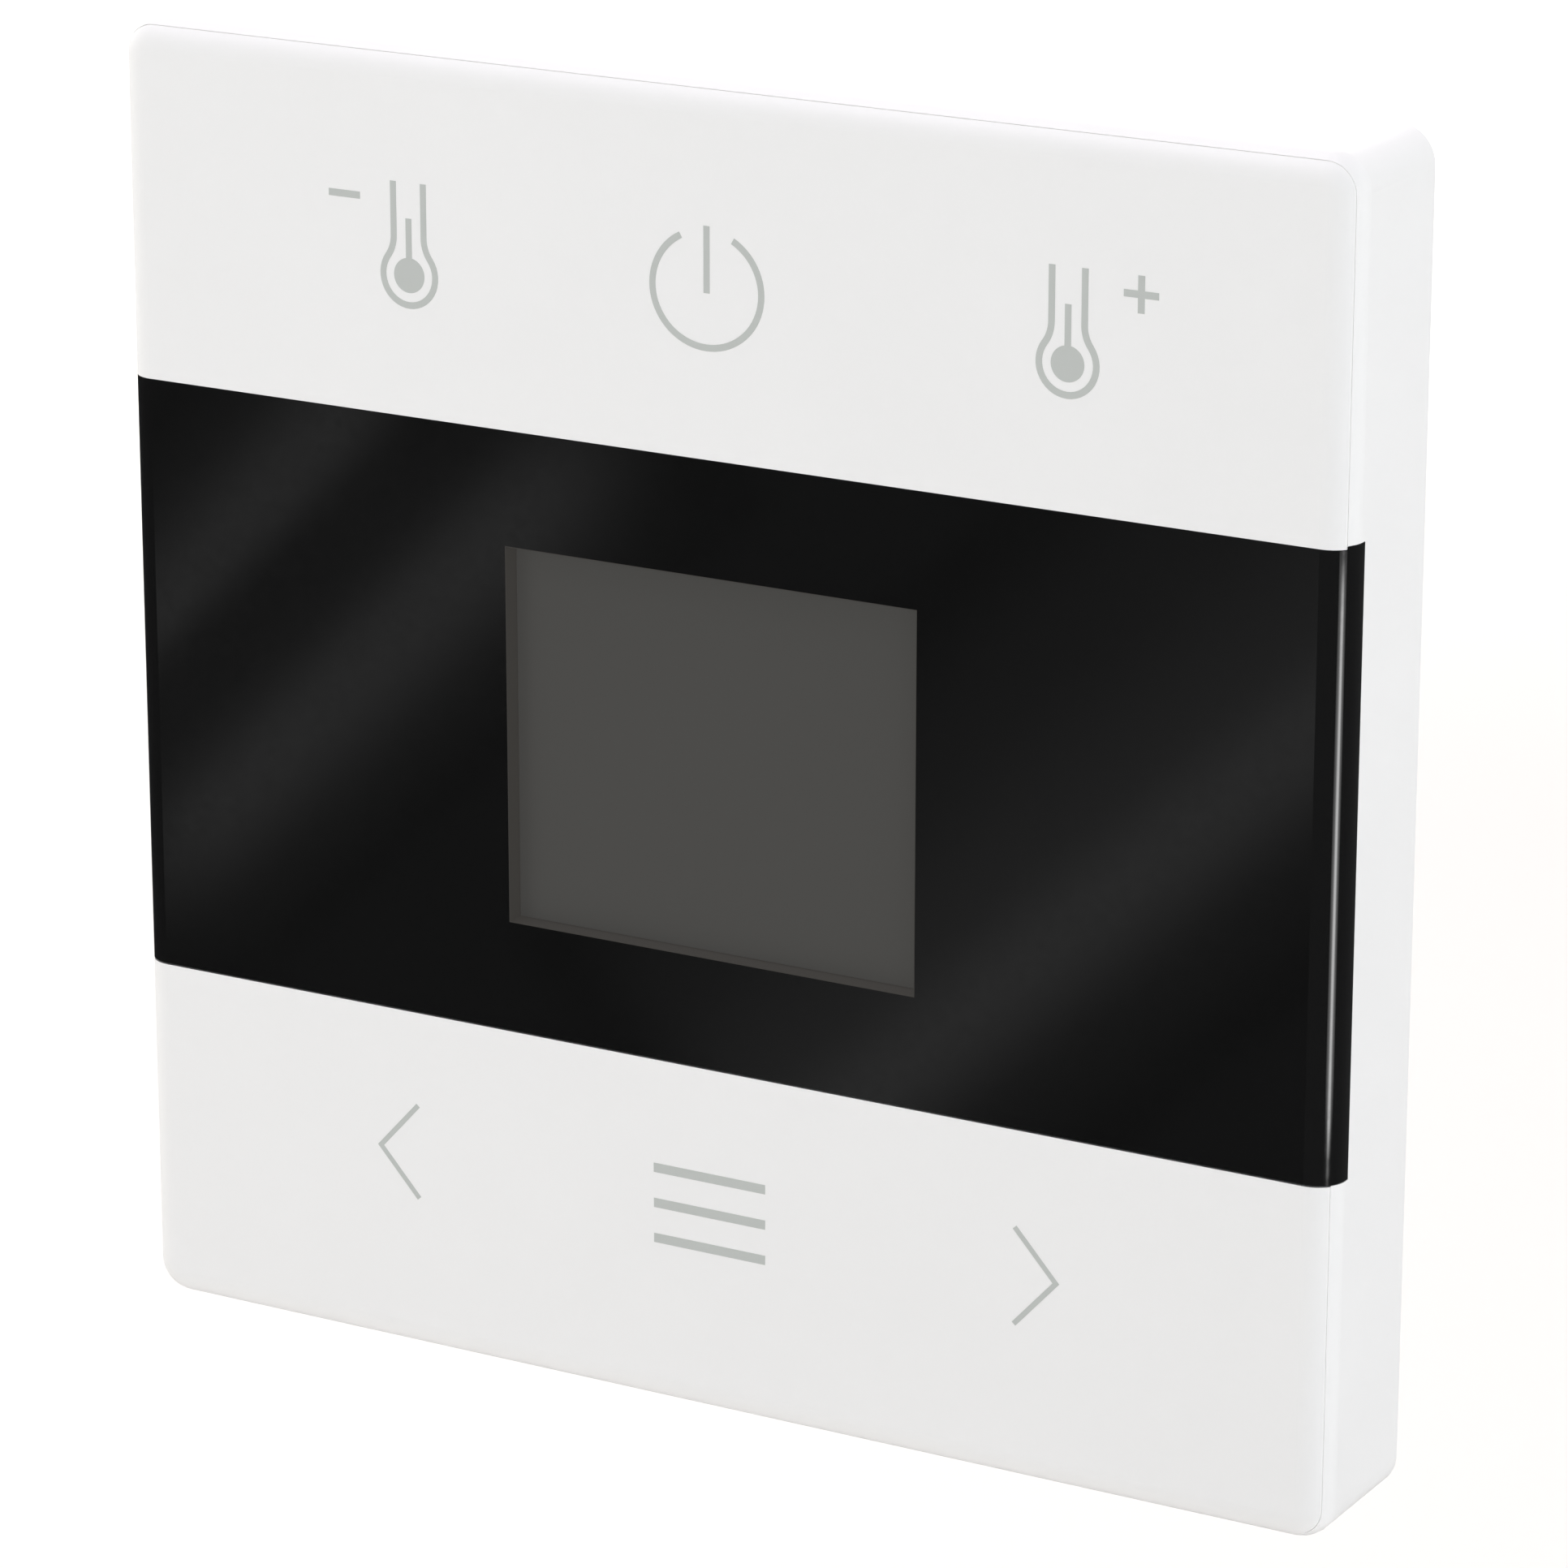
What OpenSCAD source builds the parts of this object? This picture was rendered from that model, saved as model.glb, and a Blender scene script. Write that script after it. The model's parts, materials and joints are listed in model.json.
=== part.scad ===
// Square wall thermostat insert.
// +Y runs into the wall, the front faces -Y and +Z is up.
// The origin is the centre of the rear housing's flat back face.

/* [Front] */
// Width and height of the square front
face_w = 55; // [54.6:0.1:57]
// Depth of the front frame, from its rear rim to the front face
front_depth = 6.8; // [6.8:0.1:7.4]
// Radius of the rounding along the front edges
edge_r = 1.2; // [0.9:0.1:1.3]
// Radius of the outline's four corners
corner_r = 1.5; // [1.5:0.1:2.5]
// Thickness of the side walls
wall_t = 1.6; // [1.5:0.1:1.7]
// Thickness of the thin lip that borders the key plates
lip_t = 0.26; // [0.24:0.01:0.3]

/* [Lens] */
// Height of the lens's upper edge above the centre
lens_top = 12.62; // [12.6:0.01:12.7]
// Height of the lens's lower edge, below the centre
lens_bottom = -12.53; // [-12.6:0.01:-12.5]
// Thickness of the lens, which is also how far it reaches back along the sides
lens_t = 1.43; // [1.3:0.01:1.5]
// Extra height of the lens where it meets the frame's lip
ear_h = 0.14; // [0.1:0.01:0.18]
// Width of the display window
window_w = 18.61; // [16:0.01:19]
// Height of the display window
window_h = 15.73; // [12:0.01:16]
// How far the window pane is set back behind the lens's front
window_inset = 0.75; // [0.4:0.05:0.9]

/* [Keys] */
// Thickness of the key plates
key_t = 1.3; // [1.2:0.05:1.35]
// Gap between a key plate and the frame's lip, and the lens above it
key_gap = 0.03; // [0.03:0.01:0.08]
// Gap between the lens and the lower key plate
lower_key_gap = 0.07; // [0.05:0.01:0.1]
// Distance of the left and right switches from the middle
switch_x = 15; // [13:0.5:16]
// Height of both rows of switches above and below the centre
switch_z = 19.2; // [18.8:0.1:19.6]
// Radius of the pivot pins
pivot_r = 0.6; // [0.5:0.05:0.65]
// Radial clearance of a key plate's bore on its pivot pin
pivot_clearance = 0.03; // [0.02:0.01:0.05]
// Distance of a carrier's guide screws from the middle
guide_x = 9; // [8.5:0.5:9.5]
// Radius of the guide screws' shoulders
guide_r = 1; // [0.9:0.05:1.05]
// Radial clearance of the carriers on the guide screws
guide_clearance = 0.05; // [0.03:0.01:0.07]

/* [Inside] */
// Side of the square main board
board_w = 51; // [50:0.1:51]
// Thickness of the main board
board_t = 1; // [0.8:0.1:1]
// Thickness of the frame's inner floor
floor_t = 0.8; // [0.7:0.1:0.8]
// Thickness of the silicone switch mats' base
mat_t = 0.3; // [0.25:0.05:0.35]
// Width of the display tray
tray_w = 26; // [24:0.5:26]
// Height of the display tray
tray_h = 22; // [20.5:0.5:22]

/* [Rear housing] */
// Depth of the housing behind the front frame's rim
rear_depth = 8.2; // [8.2:0.1:12]
// Side of the square housing
rear_w = 43; // [42:0.1:43]
// Thickness of the housing's walls
rear_t = 1.4; // [1.2:0.1:1.5]
// Thickness of the flange that closes the front frame
flange_t = 0.9; // [0.9:0.05:1]
// Distance of the housing screws from the centre, sideways and upwards
screw_xy = 22.5; // [22.5:0.1:22.7]

/* [Terminal] */
// Width of the terminal pocket
pocket_w = 12; // [11:0.5:12]
// Height of the terminal pocket
pocket_h = 10; // [9:0.5:10]
// Height of the pocket's centre
pocket_z = 10; // [9.5:0.5:10.5]
// Distance between the two pins
pin_pitch = 5.75; // [5.5:0.05:6]
// Radius of the pins
pin_r = 0.5; // [0.4:0.05:0.6]
// Length of the pins inside the pocket
pin_length = 5; // [4:0.5:5.5]

/* [Support fixing] */
// Distance of each threaded insert from the middle
insert_x = 15.5; // [15:0.1:16]
// Radius of the inserts' thread
insert_r = 1.25; // [1:0.05:1.4]
// Length of the inserts
insert_l = 4; // [3:0.5:4.5]

/* [Programming button] */
// Sideways place of the button and its light
button_x = 13.5; // [12.5:0.5:14]
// Height of the button
button_z = 8; // [7.5:0.5:8.5]
// Height of the light
light_z = 14; // [13.5:0.5:14.5]
// Radius of the button
button_r = 1.6; // [1.4:0.1:1.7]
// Travel of the button
button_travel = 0.5; // [0.3:0.1:0.5]

/* [Hidden] */
$fn = 64;

// Overlap that keeps a cut clear of the face that it opens
cut = 0.1;
// Half of the face, and of the square inside its walls
half = face_w / 2;
cavity = half - wall_t;
core = half - corner_r;
// Depths, from the back forward
rim_y = -rear_depth;
front_y = rim_y - front_depth;
board_back = rim_y - flange_t;
board_front = board_back - board_t;
floor_back = board_front - mat_t;
floor_front = floor_back - floor_t;
carrier_back = floor_front - 0.5;
carrier_t = 0.9;
carrier_front = carrier_back - carrier_t;
pivot_y = carrier_back - 1;
key_back = front_y + key_t;
lens_back = front_y + lens_t;
// Depth to which the wide pocket round a key plate's edge is cut
pocket_floor_y = key_back + 0.75;
// Half width of the key plates' pocket, and the ribs that carry the lens
lip_x = half - lip_t;
rib_outer = 12.5;
rib_inner = 11.2;
tape_t = 0.15;
tape_w = 1;
// Display stack, from the board forward
tray_wall = 0.8;
tray_base = 0.5;
guide_t = 1;
cell_t = 1;
gasket_t = 0.5;
tray_floor_y = board_front - tray_base;
guide_front = tray_floor_y - guide_t;
cell_front = guide_front - cell_t;
gasket_front = cell_front - gasket_t;
cell_w = tray_w - 2 * tray_wall - 0.2;
cell_h = tray_h - 2 * tray_wall - 0.2;
flex_w = 10;
flex_t = 0.15;
flex_z = -9.4;
flex_bend_r = 0.6;
pane_flange_w = 22;
pane_flange_h = 18.4;
pane_gap = 0.04;
cell_ledge = 1.3;
led_w = 3;
led_x = 8.5;
// Switch domes, and the hair's breadth that keeps touching pieces from overlapping
touch = 0.02;
dome_r = 2.8;
dome_hole_r = 3.2;
dome_h = 0.85;
dome_top = carrier_back + touch;
mat_w = 40;
mat_h = 9;
// Key plates, carriers and their guide screws
post_r = 1.4;
key_root = 0.2;
key_rib_l = 38;
key_rib_t = 0.8;
key_rib_h = 0.5;
key_rib_z = 4.6;
lug_r = 1;
lug_z = 2.9;
lug_w = 1.4;
pivot_pin_l = 7.8;
carrier_w = 23;
carrier_h = 3.8;
carrier_wall = 0.3;
boss_r = 1.7;
thread_r = 0.7;
hole_clearance = 0.3;
guide_head_t = 0.48;
guide_slot = 0.5;
// Air slots in the underside, and the sensor behind them
vent_count = 6;
vent_x = 5.4;
vent_w = 1.2;
vent_pitch = 2.4;
sensor_x = 12;
sensor_z = -24.2;
sensor_r = 0.8;
lead_r = 0.15;
lead_gap = 0.8;
// Places of the larger pieces on the back of the board, across and up
controller_place = [-12, 12];
memory_place = [-12, -8];
transceiver_place = [-3.5, 0];
capacitor_places = [[-13, -15.5], [5.5, -4.2]];
inductor_place = [13, -13];
can_r = 3.1;
can_top = board_back + 5.4;
can_foot = 0.8;
// Fastening of the rear housing
corner_boss_r = 2.2;
screw_boss_r = 2;
screw_r = 0.85;
screw_head_r = 1.7;
screw_head_t = 0.8;
screw_seat = 0.85;
screw_play = 0.1;
insert_wall = 0.75;
clip_z = 12;
clip_w = 6;
clip_recess = 0.35;
clip_end_y = -2.05;
// Terminal pocket, and the thicker part of the pins in the block and the board
pocket_depth = 6.5;
pocket_wall = 1;
pin_shank_r = pin_r + 0.25;
pin_tip = 0.3;
// Programming switch, whose button slides into it
switch_w = 6;
switch_top = board_back + 3.4;
button_fit = 0.06;
button_seat = 0.3;
collar_w = 0.6;
light_r = 1;

// Extrudes an outline drawn across X and Z from one depth to another
module along_y(y0, y1) {
    translate([0, y1, 0])
        rotate([90, 0, 0])
            linear_extrude(y1 - y0)
                children();
}

// Extrudes an outline drawn across X and Y from one height to another
module along_z(z0, z1) {
    translate([0, 0, z0])
        linear_extrude(z1 - z0)
            children();
}

// Extrudes an outline drawn across Y and Z from one side to another
module along_x(x0, x1) {
    translate([x0, 0, 0])
        rotate([90, 0, 90])
            linear_extrude(x1 - x0)
                children();
}

// Round rod along Y at a place on the face
module rod(x, z, r, y0, y1) {
    translate([x, y1, z])
        rotate([90, 0, 0])
            cylinder(r = r, h = y1 - y0);
}

// Box between two corners
module block(low, high) {
    translate(low)
        cube(high - low);
}

module round_rect(w, h, r) {
    square([w, h - 2 * r], center = true);
    square([w - 2 * r, h], center = true);
    for (x = [-1, 1], z = [-1, 1])
        translate([x * (w / 2 - r), z * (h / 2 - r)])
            circle(r);
}

// Rectangular ring, as an outline
module ring_outline(w, h, inner_w, inner_h) {
    difference() {
        square([w, h], center = true);
        square([inner_w, inner_h], center = true);
    }
}

// Section through the front: flat face, rounded edges, straight sides
module edge_section() {
    translate([-half, front_y + edge_r])
        square([face_w, front_depth - edge_r]);
    translate([-half + edge_r, front_y])
        square([face_w - 2 * edge_r, front_depth]);
    for (side = [-1, 1])
        translate([side * (half - edge_r), front_y + edge_r])
            circle(edge_r);
}

// Column that rounds one corner of the face, with the same rounded front edge
module corner_column() {
    rotate([90, 0, 0])
        rotate_extrude()
            intersection() {
                union() {
                    translate([0, -rim_y])
                        square([corner_r, front_depth - edge_r]);
                    translate([0, -rim_y])
                        square([corner_r - edge_r, front_depth]);
                    translate([corner_r - edge_r, -front_y - edge_r])
                        circle(edge_r);
                }
                translate([0, -rim_y])
                    square([corner_r, front_depth]);
            }
}

// Outer form shared by the frame, the lens and the key plates
module outer_form() {
    along_z(-core, core)
        edge_section();
    along_x(-core, core)
        mirror([1, -1, 0])
            edge_section();
    for (x = [-1, 1], z = [-1, 1])
        translate([x * core, 0, z * core])
            corner_column();
}

// Outline of a key plate above the given height
module key_outline(reach, inner_edge) {
    intersection() {
        round_rect(2 * reach, 2 * reach, corner_r - half + reach);
        translate([-reach, inner_edge])
            square([2 * reach, reach - inner_edge]);
    }
}

// The lens's outline, with its taller ends
module lens_outline(end_top) {
    translate([-half, lens_bottom])
        square([face_w, lens_top - lens_bottom]);
    for (side = [-1, 1])
        translate([side * (half + lip_x) / 2, (lens_bottom + end_top) / 2])
            square([lip_t, end_top - lens_bottom], center = true);
}

// Everything that is cut from the frame for one key plate, above the centre
module key_pocket(inner_edge) {
    along_y(front_y - cut, pocket_floor_y)
        key_outline(lip_x, inner_edge);
    block([-cavity, front_y - cut, inner_edge], [cavity, floor_front, cavity]);
    for (x = [-switch_x, 0, switch_x])
        rod(x, switch_z, dome_hole_r, floor_front - cut, floor_back + cut);
}

// Slots in the underside that let room air reach the sensor
module vents() {
    for (i = [0:vent_count - 1])
        block([vent_x + vent_pitch * i, floor_front - 1.6, -half - cut],
              [vent_x + vent_w + vent_pitch * i, floor_front - 0.3, -cavity + cut]);
}

module front_frame() {
    color("white")
        difference() {
            union() {
                difference() {
                    outer_form();
                    key_pocket(rib_outer);
                    mirror([0, 0, 1])
                        key_pocket(rib_outer);
                    // Seat of the lens
                    block([-half - cut, front_y - cut, lens_bottom - key_gap],
                          [half + cut, lens_back, lens_top + ear_h + key_gap]);
                    // Rebate for the lens's tape
                    along_y(lens_back - cut, lens_back + tape_t)
                        square([2 * (cavity + tape_w), 2 * (rib_inner + tape_w)], center = true);
                    block([-cavity, front_y - cut, -rib_inner], [cavity, floor_front, rib_inner]);
                    // Display opening in the floor
                    along_y(floor_front - cut, floor_back + cut)
                        square([tray_w + 0.4, 2 * rib_inner], center = true);
                    // Room for the main board and the rear housing's flange
                    along_y(floor_back, rim_y + cut)
                        round_rect(2 * cavity, 2 * cavity, 1);
                    vents();
                    // Sensor leads
                    rod(sensor_x, sensor_z, 1.2, floor_front - cut, floor_back + cut);
                }
                for (x = [-1, 1], z = [-1, 1]) {
                    rod(x * screw_xy, z * screw_xy, screw_boss_r, floor_front - 1.5, floor_front);
                    rod(x * guide_x, z * switch_z, boss_r, floor_back, board_back - 0.2);
                }
            }
            for (x = [-1, 1], z = [-1, 1]) {
                rod(x * screw_xy, z * screw_xy, screw_r, floor_front - 1.1, floor_back + cut);
                rod(x * guide_x, z * switch_z, thread_r, floor_front - cut, board_back);
            }
        }
}

module lens() {
    color("#101012")
        difference() {
            intersection() {
                outer_form();
                along_y(front_y - cut, lens_back)
                    lens_outline(lens_top + ear_h);
            }
            along_y(front_y - cut, lens_back + cut)
                square([window_w, window_h], center = true);
        }
}

module lens_tape() {
    color("dimgray")
        along_y(lens_back, lens_back + tape_t)
            ring_outline(2 * (cavity + tape_w) - 0.1, 2 * (rib_inner + tape_w) - 0.1,
                         2 * cavity, 2 * rib_inner);
}

module display_window() {
    color("#4a4946")
        union() {
            along_y(front_y + window_inset, lens_back)
                square([window_w - 2 * pane_gap, window_h - 2 * pane_gap], center = true);
            along_y(lens_back, gasket_front)
                round_rect(pane_flange_w, pane_flange_h, 0.5);
        }
}

module display_gasket() {
    color("black")
        along_y(gasket_front, cell_front)
            ring_outline(pane_flange_w, pane_flange_h, pane_flange_w - 2, pane_flange_h - 1.4);
}

// Two glass plates, the rear one with a ledge for the flex
module display_cell() {
    color("#5c6468")
        union() {
            block([-cell_w / 2, cell_front, -cell_h / 2 + cell_ledge],
                  [cell_w / 2, cell_front + cell_t / 2, cell_h / 2]);
            block([-cell_w / 2, cell_front + cell_t / 2, -cell_h / 2],
                  [cell_w / 2, guide_front, cell_h / 2]);
        }
}

module light_guide() {
    color("#e8f0f4")
        block([-cell_w / 2, guide_front, -cell_h / 2 + cell_ledge + 0.2],
              [cell_w / 2, tray_floor_y, cell_h / 2]);
}

module display_tray() {
    color("whitesmoke")
        difference() {
            along_y(cell_front, board_front)
                round_rect(tray_w, tray_h, 0.6);
            along_y(cell_front - cut, tray_floor_y)
                square([tray_w - 2 * tray_wall, tray_h - 2 * tray_wall], center = true);
            flex_slot();
        }
}

module backlight_leds() {
    color("#f4f0c0")
        for (side = [-1, 1])
            translate([side * led_x, 0, 0])
                block([-led_w / 2, tray_floor_y - 0.9, -cell_h / 2 + 0.1],
                      [led_w / 2, tray_floor_y, -cell_h / 2 + 0.1 + cell_ledge]);
}

// Slot that lets the flex through the tray and the board
module flex_slot() {
    block([-flex_w / 2 - 0.4, tray_floor_y - cut, flex_z - 0.5],
          [flex_w / 2 + 0.4, board_back + cut, flex_z + 0.5]);
}

// Ribbon that leaves the cell, passes the board and bends down to its connector
module display_flex() {
    bend_y = board_back + 0.4;
    bend_z = flex_z - flex_bend_r;
    color("#c07820")
        along_x(-flex_w / 2, flex_w / 2) {
            translate([guide_front, flex_z - flex_t / 2])
                square([bend_y - guide_front, flex_t]);
            intersection() {
                translate([bend_y, bend_z])
                    difference() {
                        circle(flex_bend_r + flex_t / 2);
                        circle(flex_bend_r - flex_t / 2);
                    }
                translate([bend_y, bend_z])
                    square(flex_bend_r + flex_t);
            }
            translate([bend_y + flex_bend_r - flex_t / 2, bend_z - 0.6])
                square([flex_t, 0.6]);
        }
}

module flex_connector() {
    top_z = flex_z - flex_bend_r - 0.6;
    base_z = top_z - 3.6;
    base_y = board_back + 1.2;
    half_w = flex_w / 2 + 1.5;
    color("#2b2b2e")
        difference() {
            union() {
                block([-half_w, board_back, base_z], [half_w, base_y, top_z]);
                block([0.4 - half_w, base_y, top_z - 1.4], [half_w - 0.4, base_y + 0.3, top_z]);
            }
            // Openings over the contacts
            for (i = [-4:4])
                translate([i * 1.2, 0, 0])
                    block([-0.2, base_y - 0.3, base_z - cut], [0.2, base_y + cut, top_z - 2.2]);
        }
}

// Key plate above the centre: plate, stiffening ribs, pivot lugs and switch posts
module key_plate(inner_edge) {
    color("white")
        difference() {
            union() {
                intersection() {
                    outer_form();
                    along_y(front_y - cut, key_back)
                        key_outline(lip_x - key_gap, inner_edge);
                }
                for (side = [-1, 1]) {
                    translate([0, 0, switch_z + side * key_rib_z])
                        block([-key_rib_l / 2, key_back - key_root, -key_rib_t / 2],
                              [key_rib_l / 2, key_back + key_rib_h, key_rib_t / 2]);
                    rod(side * switch_x, switch_z, post_r, key_back - key_root, carrier_back - touch);
                    translate([0, 0, switch_z + side * lug_z])
                        along_z(-lug_w / 2, lug_w / 2) {
                            translate([-lug_r, key_back - key_root])
                                square([2 * lug_r, pivot_y - key_back + key_root]);
                            translate([0, pivot_y])
                                circle(lug_r);
                        }
                }
            }
            along_z(switch_z - 4, switch_z + 4)
                translate([0, pivot_y])
                    circle(pivot_r + pivot_clearance);
        }
}

module upper_key() {
    key_plate(lens_top + key_gap);
}

module lower_key() {
    mirror([0, 0, 1])
        key_plate(lower_key_gap - lens_bottom);
}

module pivot_pin(z) {
    color("silver")
        along_z(z - pivot_pin_l / 2, z + pivot_pin_l / 2)
            translate([0, pivot_y])
                circle(pivot_r);
}

module upper_pivot_pin() {
    pivot_pin(switch_z);
}

module lower_pivot_pin() {
    pivot_pin(-switch_z);
}

// Bridge that slides on the guide screws and holds a key plate's pivot pin
module carrier(z) {
    color("#d8d8d4")
        difference() {
            union() {
                block([-carrier_w / 2, carrier_front, z - carrier_h / 2],
                      [carrier_w / 2, carrier_back, z + carrier_h / 2]);
                along_z(z - carrier_h / 2, z + carrier_h / 2) {
                    translate([0, pivot_y])
                        circle(pivot_r + carrier_wall);
                    translate([-pivot_r - carrier_wall, pivot_y])
                        square([2 * (pivot_r + carrier_wall), carrier_back - pivot_y]);
                }
            }
            for (x = [-guide_x, guide_x])
                rod(x, z, guide_r + guide_clearance, carrier_front - cut, carrier_back + cut);
            along_z(z - carrier_h, z + carrier_h)
                translate([0, pivot_y])
                    circle(pivot_r);
        }
}

module upper_carrier() {
    carrier(switch_z);
}

module lower_carrier() {
    carrier(-switch_z);
}

// Shoulder screw: thread in the frame, shoulder for the carrier, slotted head in front
module guide_screw(x, z) {
    head_back = carrier_front - touch;
    head_front = head_back - guide_head_t;
    difference() {
        union() {
            rod(x, z, thread_r, floor_front, board_back - 0.3);
            rod(x, z, guide_r, head_back, floor_front);
            rod(x, z, screw_head_r, head_front, head_back);
        }
        block([x - guide_slot / 2, head_front - cut, z - 2], [x + guide_slot / 2, head_front + 0.2, z + 2]);
    }
}

module guide_screws() {
    color("silver")
        for (x = [-guide_x, guide_x], z = [-switch_z, switch_z])
            guide_screw(x, z);
}

// Silicone mat: thin base on the board and a dome under each switch place
module switch_mat(z) {
    color("#b8bcc0")
        difference() {
            union() {
                block([-mat_w / 2, floor_back, z - mat_h / 2], [mat_w / 2, board_front, z + mat_h / 2]);
                for (x = [-switch_x, 0, switch_x]) {
                    translate([x, floor_back, z])
                        rotate([90, 0, 0])
                            cylinder(r1 = dome_r, r2 = dome_r - 0.8, h = dome_h);
                    rod(x, z, 1.5, dome_top, floor_back);
                }
            }
            for (x = [-guide_x, guide_x])
                rod(x, z, boss_r + hole_clearance, floor_back - cut, board_front + cut);
        }
}

module upper_switch_mat() {
    switch_mat(switch_z);
}

module lower_switch_mat() {
    switch_mat(-switch_z);
}

module board_hole(x, z, r) {
    rod(x, z, r, board_front - cut, board_back + cut);
}

module main_board() {
    color("#1d6b3c")
        difference() {
            along_y(board_front, board_back)
                round_rect(board_w, board_w, 1);
            for (x = [-1, 1], z = [-1, 1]) {
                board_hole(x * screw_xy, z * screw_xy, corner_boss_r + 0.2);
                board_hole(x * guide_x, z * switch_z, boss_r + hole_clearance);
            }
            for (side = [-1, 1])
                board_hole(side * pin_pitch / 2, pocket_z, pin_shank_r);
            flex_slot();
        }
}

// Moves a piece to its place on the back of the board
module on_board(place) {
    translate([place[0], board_back, place[1]])
        children();
}

module chip_body(w, h, t) {
    block([-w / 2, 0.1, -h / 2], [w / 2, t, h / 2]);
}

// Rows of leads along the left and right sides of a chip
module chip_leads(w, count, pitch) {
    for (i = [0:count - 1], side = [-1, 1])
        translate([side * (w / 2 + 0.3), 0.2, (i - (count - 1) / 2) * pitch])
            cube([1.2, 0.4, 0.25], center = true);
}

module controller_chip() {
    side = 9;
    thickness = 1.3;
    color("#202022")
        on_board(controller_place)
            difference() {
                union() {
                    chip_body(side, side, thickness);
                    for (turn = [0, 90])
                        rotate([0, turn, 0])
                            chip_leads(side, 14, 0.55);
                }
                // Mark of the first lead
                rod(1.1 - side / 2, side / 2 - 1.1, 0.4, thickness - 0.1, thickness + cut);
            }
}

module interface_chips() {
    color("#26262a") {
        on_board(memory_place) {
            chip_body(4, 5, 1.5);
            chip_leads(4, 4, 1.27);
        }
        on_board(transceiver_place) {
            chip_body(4.4, 5, 1.1);
            chip_leads(4.4, 8, 0.6);
        }
    }
}

module buffer_capacitors() {
    color("silver")
        for (place = capacitor_places) {
            rod(place[0], place[1], can_r, board_back + can_foot, can_top);
            on_board(place)
                block([-can_r - 0.2, 0, -can_r - 0.2], [can_r + 0.2, can_foot, can_r + 0.2]);
        }
}

module supply_inductor() {
    height = 3.6;
    groove_r = 2.9;
    color("#3a3a3c")
        on_board(inductor_place)
            difference() {
                along_y(0, height)
                    round_rect(7.4, 7.4, 1.2);
                difference() {
                    rod(0, 0, groove_r, height - 0.3, height + cut);
                    rod(0, 0, groove_r - 0.6, height - 0.4, height + 2 * cut);
                }
            }
}

// Sensor bead, sunk into the hole for its leads so that the pressed key plate clears it
module temperature_sensor() {
    bead_y = floor_front - sensor_r / 2;
    color("#a8442c")
        union() {
            translate([sensor_x, bead_y, sensor_z])
                sphere(sensor_r);
            for (side = [-1, 1])
                rod(sensor_x + side * lead_gap / 2, sensor_z, lead_r, bead_y, board_front);
        }
}

module terminal_block() {
    color("#ece9e0")
        difference() {
            block([-pocket_w / 2, board_back, pocket_z - pocket_h / 2],
                  [pocket_w / 2, -pocket_depth, pocket_z + pocket_h / 2]);
            for (side = [-1, 1])
                rod(side * pin_pitch / 2, pocket_z, pin_shank_r, board_back - cut, -pocket_depth + cut);
        }
}

module terminal_pins() {
    tip_y = -pocket_depth + pin_length;
    color("gold")
        for (side = [-1, 1]) {
            rod(side * pin_pitch / 2, pocket_z, pin_shank_r, board_front, -pocket_depth);
            rod(side * pin_pitch / 2, pocket_z, pin_r, -pocket_depth, tip_y);
            translate([side * pin_pitch / 2, tip_y, pocket_z])
                rotate([-90, 0, 0])
                    cylinder(r1 = pin_r, r2 = pin_r / 2, h = pin_tip);
        }
}

module programming_switch() {
    color("#303034")
        difference() {
            translate([button_x, 0, button_z])
                block([-switch_w / 2, board_back, -switch_w / 2], [switch_w / 2, switch_top, switch_w / 2]);
            rod(button_x, button_z, button_r + button_fit,
                switch_top - button_seat - button_travel - 0.1, switch_top + cut);
        }
}

// Button that slides into its switch, held in behind the rear wall by its collar
module programming_button() {
    collar_back = -rear_t - 0.1;
    color("#c8342c")
        union() {
            rod(button_x, button_z, button_r, switch_top - button_seat, -0.5);
            rod(button_x, button_z, button_r + collar_w, collar_back - 1.2, collar_back);
        }
}

module programming_light() {
    color("#d04030")
        union() {
            on_board([button_x, light_z])
                block([-1.6, 0, -1], [1.6, 0.8, 1]);
            rod(button_x, light_z, light_r, board_back + 0.8, -0.1);
        }
}

// Section of the housing with its bevelled rear edges
module rear_section() {
    bevel = 0.6;
    side = rear_w / 2;
    polygon([
        [-side, board_back], [side, board_back], [side, -bevel],
        [side - bevel, 0], [bevel - side, 0], [-side, -bevel]
    ]);
}

module rear_block() {
    intersection() {
        along_y(board_back, 0)
            round_rect(rear_w, rear_w, 2.5);
        along_z(-rear_w, rear_w)
            rear_section();
        along_x(-rear_w, rear_w)
            mirror([1, -1, 0])
                rear_section();
    }
}

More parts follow.
